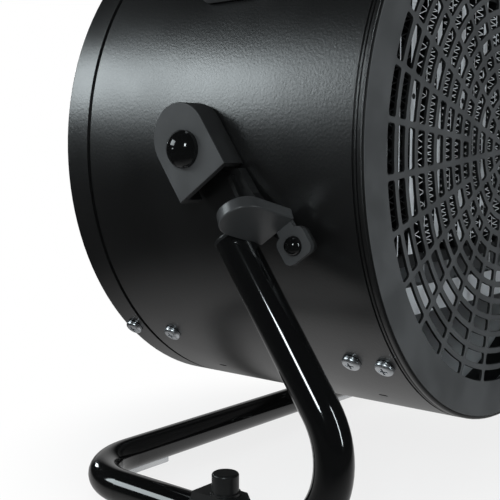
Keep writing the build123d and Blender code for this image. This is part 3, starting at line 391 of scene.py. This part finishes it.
def make_bars(material, stud_material):
    """Upright heating bars with eased edges, and the small studs along their front faces."""
    low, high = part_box("ptc_bars")
    bm = bmesh.new()
    studs = bmesh.new()
    for bar in range(BAR_COUNT):
        middle = low.x + BAR_WIDTH / 2 + bar * BAR_PITCH
        size = Vector((BAR_WIDTH, high.y - low.y, high.z - low.z))
        centre = Vector((middle, (low.y + high.y) / 2, (low.z + high.z) / 2))
        made = bmesh.ops.create_cube(bm, size=1, matrix=Matrix.LocRotScale(centre, None, size))
        edges = {edge for vertex in made["verts"] for edge in vertex.link_edges}
        round_edges(bm, edges, BAR_EDGE, steps=2)
        height = low.z + STUD_START + (STUD_PITCH / 2 if bar % 2 else 0)
        while height < high.z - STUD_R:
            add_stud(studs, Vector((middle, low.y, height)))
            height += STUD_PITCH
    mesh = finish_mesh(bm, "heating_bars")
    add_piece("heating_bars", mesh, material, "heater", ["ptc_bars"])
    add_piece("bar_studs", finish_mesh(studs, "bar_studs"), stud_material, "heater")


def add_stud(bm, place):
    """A low round stud on a bar's front face."""
    profile = [(0, 0), (STUD_R, 0), (STUD_R, STUD_RIM)]
    profile += [(STUD_FLAT_R, STUD_HEIGHT), (0, STUD_HEIGHT)]

    def at(radius, angle, height):
        return place + Vector((radius * math.cos(angle), -height, radius * math.sin(angle)))

    spin(bm, profile, at, STUD_STEPS, closed=False)


# Screws


def cross_outline(length, width, height):
    """The twelve corners of a cross recess."""
    points = []
    for quarter in range(4):
        turn = Matrix.Rotation(quarter * math.pi / 2, 3, "Z")
        for corner in ((length, -width), (length, width), (width, width)):
            points.append(turn @ Vector((corner[0], corner[1], height)))
    return points


def add_screw(bm, place, length):
    """A pan-head screw with a cross recess, in a frame whose z points out of the seat."""

    def at(radius, angle, height):
        return place @ Vector((radius * math.cos(angle), radius * math.sin(angle), height))

    profile = [(0, -length), (SHANK_R, -length), (SHANK_R, 0), (HEAD_R, 0), (HEAD_R, HEAD_RIM)]
    crown = HEAD_HEIGHT - HEAD_RIM
    for lean in arc(0, math.pi / 2, 5)[1:]:
        radius = HEAD_FLAT_R + (HEAD_R - HEAD_FLAT_R) * math.cos(lean)
        profile.append((radius, HEAD_RIM + crown * math.sin(lean)))
    spin(bm, profile, at, HEAD_STEPS, closed=False)
    around = arc(0, 2 * math.pi, HEAD_STEPS)[:-1]
    rim = [bm.verts.new(at(HEAD_FLAT_R, angle, HEAD_HEIGHT)) for angle in around]
    top = cross_outline(CROSS_LENGTH, CROSS_WIDTH, HEAD_HEIGHT)
    mouth = [bm.verts.new(place @ point) for point in top]
    shorter, narrower = CROSS_FLOOR
    depth = HEAD_HEIGHT - CROSS_DEPTH
    bottom = cross_outline(CROSS_LENGTH * shorter, CROSS_WIDTH * narrower, depth)
    floor = [bm.verts.new(place @ point) for point in bottom]
    fill_between(bm, rim, mouth, place.inverted())
    bridge(bm, mouth, floor)
    bm.faces.new(floor)


def make_screws(material):
    for row in ("bezel_screws", "frame_screws", "spider_screws", "cover_screws"):
        low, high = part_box(row)
        bm = bmesh.new()
        for angle in SCREW_ANGLES:
            place = drum_frame(math.radians(angle), (low.y + high.y) / 2, DRUM_R + SEAT_GAP)
            add_screw(bm, place, SHANK_LENGTH)
        add_piece(f"{row}_cross", finish_mesh(bm, row), material, "heater", [row])
    low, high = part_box("handle_screws")
    bm = bmesh.new()
    for angle in (HANDLE_SCREW_ANGLE, 180 - HANDLE_SCREW_ANGLE):
        for step in (-0.5, 0.5):
            y = (low.y + high.y) / 2 + step * HANDLE_SCREW_SPREAD
            place = drum_frame(math.radians(angle), y, DRUM_R + HANDLE_STRAP + 2 * SEAT_GAP)
            add_screw(bm, place, HANDLE_SCREW_LENGTH)
    mesh = finish_mesh(bm, "handle_screws")
    add_piece("handle_screws_cross", mesh, material, "heater", ["handle_screws"])


def make_pads(material):
    """Low clear pads under the cross tube, where it meets the floor."""
    low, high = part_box("rear_pads")
    middle = (low.y + high.y) / 2
    bm = bmesh.new()
    for x in (low.x + PAD_SIZE.x / 2, high.x - PAD_SIZE.x / 2):
        centre = Vector((x, middle, PAD_SIZE.z / 2))
        made = bmesh.ops.create_cube(bm, size=1, matrix=Matrix.LocRotScale(centre, None, PAD_SIZE))
        edges = {edge for vertex in made["verts"] for edge in vertex.link_edges}
        round_edges(bm, filter(is_upright, edges), PAD_CORNER, steps=4)
    add_piece("low_pads", finish_mesh(bm, "low_pads"), material, "stand", ["rear_pads"])


def is_upright(edge):
    first, second = edge.verts
    return abs(first.co.z - second.co.z) > PAD_SIZE.z / 2


# Materials


class NodeTree:
    """Shader nodes that are added and joined in short lines."""

    def __init__(self, tree):
        self.tree = tree

    def add(self, kind, inputs=(), **settings):
        node = self.tree.nodes.new(kind)
        for key, value in settings.items():
            setattr(node, key, value)
        for socket, value in dict(inputs).items():
            self.put(node.inputs[socket], value)
        return node

    def put(self, socket, value):
        if isinstance(value, bpy.types.NodeSocket):
            self.tree.links.new(value, socket)
        else:
            socket.default_value = value

    def ramp(self, value, edges, results):
        """A smooth step from one result to another, between two values."""
        node = self.add("ShaderNodeMapRange", {"Value": value}, interpolation_type="SMOOTHSTEP")
        for socket, number in zip(node.inputs[1:5], (*edges, *results)):
            socket.default_value = number
        return node.outputs[0]

    def mix(self, factor, first, second):
        """Mixes two colours."""
        inputs = {0: factor, 6: first, 7: second}
        return self.add("ShaderNodeMix", inputs, data_type="RGBA").outputs[2]

    def vector(self, operation, first, second=(0, 0, 0)):
        node = self.add("ShaderNodeVectorMath", {0: first, 1: second}, operation=operation)
        return node.outputs["Value" if operation in ("DOT_PRODUCT", "LENGTH") else "Vector"]

    def math(self, operation, first, second=0.0):
        return self.add("ShaderNodeMath", {0: first, 1: second}, operation=operation).outputs[0]


class Shader(NodeTree):
    """A material, with the place and the normal of each point in its piece's own space."""

    def __init__(self, name):
        self.material = bpy.data.materials.new(name)
        self.material.use_nodes = True
        super().__init__(self.material.node_tree)
        self.surface = self.tree.nodes["Principled BSDF"]
        own_space = self.add("ShaderNodeTexCoord").outputs
        self.coordinates = own_space["Object"]
        self.normal = own_space["Normal"]

    def set(self, **inputs):
        for name, value in inputs.items():
            self.put(self.surface.inputs[name.replace("_", " ")], value)

    def noise(self, scale, detail):
        inputs = {"Vector": self.coordinates, "Scale": scale, "Detail": detail}
        return self.add("ShaderNodeTexNoise", inputs).outputs["Fac"]

    def spread(self, value, low, high):
        """Maps a noise value to a range."""
        return self.ramp(value, NOISE_EDGES, (low, high))

    def bump(self, height, strength, distance):
        inputs = {"Height": height, "Strength": strength, "Distance": distance}
        self.set(Normal=self.add("ShaderNodeBump", inputs).outputs[0])


def grey(value, tint=(1.0, 1.0, 1.0)):
    return (value * tint[0], value * tint[1], value * tint[2], 1.0)


NOISE_EDGES = (0.3, 0.7)
MOTTLE = 0.14
MOTTLE_SCALE = 1 / 40
GRAIN_HEIGHT = 0.05 * MM
COAT_ROUGHNESS = 0.04
DRUM_IOR = 1.9
# Bare grey inside the drum, made paler as painted light that stands for light coming in through the
# grille
INSIDE_GREY_AND_PAINTED_LIGHT = 0.6
INSIDE_COSINE = -0.5
WALL_COSINE = 0.9995
CLEAR_IOR = 1.2
COOL = (0.96, 1.0, 1.04)
WARM = (1.0, 0.8, 0.45)

# Each finish: colour value, tint, metallic, roughness range, grain per metre, bump strength, coat
FINISHES = {
    "drum_paint": (0.005, COOL, 0.0, (0.28, 0.34), 1100, 0.9, 0.0),
    "grille_paint": (0.07, COOL, 0.0, (0.5, 0.6), 2600, 0.15, 0.0),
    "tube_paint": (0.004, COOL, 0.0, (0.07, 0.12), 300, 0.02, 0.6),
    "arm_paint": (0.06, COOL, 0.0, (0.3, 0.4), 2400, 0.1, 0.0),
    "neck_paint": (0.005, COOL, 0.0, (0.38, 0.5), 2400, 0.1, 0.0),
    "foot_plastic": (0.012, COOL, 0.0, (0.3, 0.38), 2000, 0.06, 0.0),
    "bolt_black": (0.004, COOL, 0.0, (0.06, 0.1), 300, 0.02, 0.0),
    "moulded_plastic": (0.06, COOL, 0.0, (0.55, 0.68), 3200, 0.16, 0.0),
    "cover_plastic": (0.06, COOL, 0.0, (0.55, 0.68), 3200, 0.16, 0.0),
    "knob_plastic": (0.03, COOL, 0.0, (0.4, 0.5), 3200, 0.12, 0.0),
    "zinc_steel": (0.62, COOL, 1.0, (0.22, 0.36), 900, 0.06, 0.0),
    "bright_steel": (0.66, COOL, 1.0, (0.14, 0.24), 700, 0.04, 0.0),
    "motor_iron": (0.2, COOL, 0.7, (0.45, 0.6), 900, 0.1, 0.0),
    "bearing_brass": (0.55, WARM, 1.0, (0.25, 0.35), 900, 0.05, 0.0),
    "element_aluminium": (0.9, COOL, 0.0, (0.42, 0.55), 1200, 0.06, 0.0),
    "frame_sheet": (0.7, COOL, 0.0, (0.42, 0.55), 1200, 0.06, 0.0),
    "blade_sheet": (0.7, COOL, 0.0, (0.42, 0.55), 1200, 0.06, 0.0),
    "spring_steel": (0.02, COOL, 0.0, (0.4, 0.5), 900, 0.05, 0.0),
    "heat_plastic": (0.03, COOL, 0.0, (0.5, 0.62), 2200, 0.12, 0.0),
    "fan_plastic": (0.03, COOL, 0.0, (0.36, 0.46), 1800, 0.06, 0.0),
    "bush_nylon": (0.6, COOL, 0.0, (0.4, 0.5), 1500, 0.05, 0.0),
    "clear_rubber": (0.87, COOL, 0.0, (0.1, 0.2), 2600, 0.06, 0.0),
    "rubber": (0.02, COOL, 0.0, (0.62, 0.78), 2600, 0.16, 0.0),
}

# Nodes with a finish of their own, unlike the rest of their slot
OWN_FINISHES = {
    "tilt_arm_left": "neck_paint",
    "tilt_arm_right": "neck_paint",
    "pivot_cover_left": "cover_plastic",
    "pivot_cover_right": "cover_plastic",
    "foot_saddles": "foot_plastic",
    "foot_posts": "foot_plastic",
    "tube_plugs": "foot_plastic",
    "element_frame": "frame_sheet",
    "ptc_terminals": "blade_sheet",
}

# Finishes that only the faces along one axis have, with the colour value of the painted shade on
# the sides between them: dark slot walls in the grille, dark sides on the fins, bars, frame, covers
# and arm-painted pieces
SIDE_SHADE_EDGES = (0.65, 0.95)
SHADED_SIDE_FINISHES = {
    "grille_paint": ("Y", 0.004),
    "element_aluminium": ("Y", 0.004),
    "frame_sheet": ("Y", 0.004),
    "cover_plastic": ("X", 0.011),
    "arm_paint": ("X", 0.028),
}


def make_finish(name):
    """A painted, moulded or metal finish with fine grain, soft mottling and uneven gloss."""
    value, tint, metallic, (smooth, rough), grain, bump, coat = FINISHES[name]
    shader = Shader(name + "_finish")
    fine = shader.noise(grain, 2.0)
    broad = shader.noise(grain * MOTTLE_SCALE, 3.0)
    darker, paler = (grey(value * share, tint) for share in (1 - MOTTLE, 1 + MOTTLE))
    shader.set(
        Base_Color=shader.mix(shader.spread(broad, 0.0, 1.0), darker, paler),
        Roughness=shader.spread(broad, smooth, rough),
        Metallic=metallic,
        Coat_Weight=coat,
        Coat_Roughness=COAT_ROUGHNESS,
    )
    shader.bump(fine, bump, GRAIN_HEIGHT)
    return shader


def make_drum_paint():
    """Satin black outside, bare grey inside made paler by painted light, with a true cylinder's
    normals on the round walls.
    """
    shader = make_finish("drum_paint")
    from_axis = shader.vector("SUBTRACT", shader.coordinates, (0, 0, AXIS_Z))
    radial = shader.vector("NORMALIZE", shader.vector("MULTIPLY", from_axis, (1, 0, 1)))
    outwards = shader.vector("DOT_PRODUCT", radial, shader.normal)
    inside = shader.math("LESS_THAN", outwards, INSIDE_COSINE)
    wall = shader.math("GREATER_THAN", shader.math("ABSOLUTE", outwards), WALL_COSINE)
    scaled = shader.add("ShaderNodeVectorMath", {0: radial, "Scale": outwards}, operation="SCALE")
    inputs = {0: wall, 4: shader.normal, 5: scaled.outputs[0]}
    chosen = shader.add("ShaderNodeMix", inputs, data_type="VECTOR").outputs[1]
    spaces = {"vector_type": "NORMAL", "convert_from": "OBJECT", "convert_to": "WORLD"}
    chosen = shader.add("ShaderNodeVectorTransform", {"Vector": chosen}, **spaces).outputs[0]
    grain = shader.surface.inputs["Normal"].links[0].from_node
    shader.put(grain.inputs["Normal"], shader.vector("NORMALIZE", chosen))
    painted = shader.surface.inputs["Base Color"].links[0].from_socket
    # the inside gets bare grey, made paler as painted light for the light through the grille
    shader.set(Base_Color=shader.mix(inside, painted, grey(INSIDE_GREY_AND_PAINTED_LIGHT, COOL)), IOR=DRUM_IOR)
    return shader


def make_clear_rubber():
    """Clear soft plastic, as the pads are made of."""
    shader = make_finish("clear_rubber")
    shader.set(Transmission_Weight=1.0, IOR=CLEAR_IOR)
    return shader


def make_shaded_side_finish(name, axis, painted_shade_value):
    """A finish on faces that look along an axis of the piece, and painted shade, a darker colour,
    on its sides.
    """
    shader = make_finish(name)
    facing = shader.add("ShaderNodeSeparateXYZ", {"Vector": shader.normal}).outputs[axis]
    face = shader.ramp(shader.math("ABSOLUTE", facing), SIDE_SHADE_EDGES, (0.0, 1.0))
    painted = shader.surface.inputs["Base Color"].links[0].from_socket
    # painted shade: the sides between the faces get the dark colour instead of the finish
    shader.set(Base_Color=shader.mix(face, grey(painted_shade_value, COOL), painted))
    return shader


def choose_finish(name):
    """A finish made in the way that its surface needs."""
    if name == "drum_paint":
        return make_drum_paint()
    if name == "clear_rubber":
        return make_clear_rubber()
    if name in SHADED_SIDE_FINISHES:
        return make_shaded_side_finish(name, *SHADED_SIDE_FINISHES[name])
    return make_finish(name)


# Stage


def direction(turn, rise):
    """A unit vector at an angle round Z from +X, and an angle above the floor."""
    level = math.cos(rise)
    return Vector((level * math.cos(turn), level * math.sin(turn), math.sin(rise)))


def make_camera():
    data = bpy.data.cameras.new("camera")
    data.lens = CAMERA_LENS
    data.clip_start = 0.01
    camera = bpy.data.objects.new("camera", data)
    camera.location = CAMERA_PLACE
    camera.rotation_euler = direction(CAMERA_YAW, CAMERA_PITCH).to_track_quat("-Z", "Y").to_euler()
    bpy.context.scene.collection.objects.link(camera)
    bpy.context.scene.camera = camera


def make_lamps():
    for name, (azimuth, elevation, distance, width, height, radiance) in LAMPS.items():
        data = bpy.data.lights.new(name, "AREA")
        data.shape = "RECTANGLE"
        data.size = width
        data.size_y = height
        data.energy = radiance * math.pi * width * height
        data.color = LAMP_COLOUR
        lamp = bpy.data.objects.new(name, data)
        out = direction(math.radians(azimuth), math.radians(elevation))
        lamp.location = DRUM_MIDDLE + out * distance
        lamp.rotation_euler = (-out).to_track_quat("-Z", "Y").to_euler()
        bpy.context.scene.collection.objects.link(lamp)


def make_floor():
    """A pale disc, white to the camera towards its edge, that keeps the object's shadow."""
    bm = bmesh.new()
    bmesh.ops.create_circle(bm, cap_ends=True, radius=FLOOR_R, segments=FLOOR_STEPS)
    mesh = bpy.data.meshes.new("floor")
    bm.to_mesh(mesh)
    bm.free()
    floor = bpy.data.objects.new("floor", mesh)
    bpy.context.scene.collection.objects.link(floor)
    shader = Shader("floor_finish")
    shader.set(Base_Color=grey(FLOOR_GREY), Roughness=0.9, Specular_IOR_Level=0.0)
    radius = shader.vector("LENGTH", shader.coordinates)

    def over(below, factor, strength):
        light = shader.add("ShaderNodeEmission", {"Strength": strength}).outputs[0]
        return shader.add("ShaderNodeMixShader", {0: factor, 1: below, 2: light}).outputs[0]

    path = shader.add("ShaderNodeLightPath").outputs
    seen = shader.math("MAXIMUM", path["Is Camera Ray"], path["Is Transmission Ray"])
    lifted = shader.math("MULTIPLY", shader.ramp(radius, FLOOR_FADE, (FLOOR_LIFT, 1.0)), seen)
    surface = over(shader.surface.outputs[0], lifted, 1.0)
    mirrored = shader.ramp(radius, FLOOR_GLOSS_FADE, FLOOR_GLOSS)
    surface = over(surface, path["Is Glossy Ray"], mirrored)
    shader.put(shader.tree.nodes["Material Output"].inputs["Surface"], surface)
    mesh.materials.append(shader.material)


def make_world():
    """White to the camera, a dim studio with one backdrop to mirrors, and an even fill light."""
    world = bpy.data.worlds.new("studio")
    world.use_nodes = True
    bpy.context.scene.world = world
    sky = NodeTree(world.node_tree)
    looking = sky.add("ShaderNodeTexCoord").outputs["Generated"]
    towards = sky.vector("DOT_PRODUCT", looking, direction(BACKDROP_YAW, 0))
    backdrop = sky.ramp(towards, BACKDROP_EDGES, (STUDIO_DARK, BACKDROP_LIGHT))
    path = sky.add("ShaderNodeLightPath").outputs
    seen = sky.math("MAXIMUM", path["Is Camera Ray"], path["Is Transmission Ray"])
    mirrored = path["Is Glossy Ray"]
    filling = sky.math("SUBTRACT", sky.math("SUBTRACT", 1.0, seen), mirrored)
    fill_light = sky.math("MULTIPLY", sky.math("MAXIMUM", filling, 0.0), AMBIENT)
    strength = sky.math("ADD", seen, sky.math("MULTIPLY", mirrored, backdrop))
    background = world.node_tree.nodes["Background"]
    sky.put(background.inputs["Strength"], sky.math("ADD", strength, fill_light))
    sky.put(background.inputs["Color"], grey(1.0))


finishes = {name: choose_finish(name).material for name in FINISHES}
for name, node in nodes.items():
    slot = node.data.materials[0].name
    node.data.materials[0] = finishes[OWN_FINISHES.get(name, slot)]

make_grille(finishes["grille_paint"])
make_fins(finishes["element_aluminium"], finishes["spring_steel"])
make_bars(finishes["element_aluminium"], finishes["heat_plastic"])
make_screws(finishes["zinc_steel"])
make_pads(finishes["clear_rubber"])

make_floor()
make_world()
make_lamps()
make_camera()
bpy.context.scene.view_settings.view_transform = "Standard"
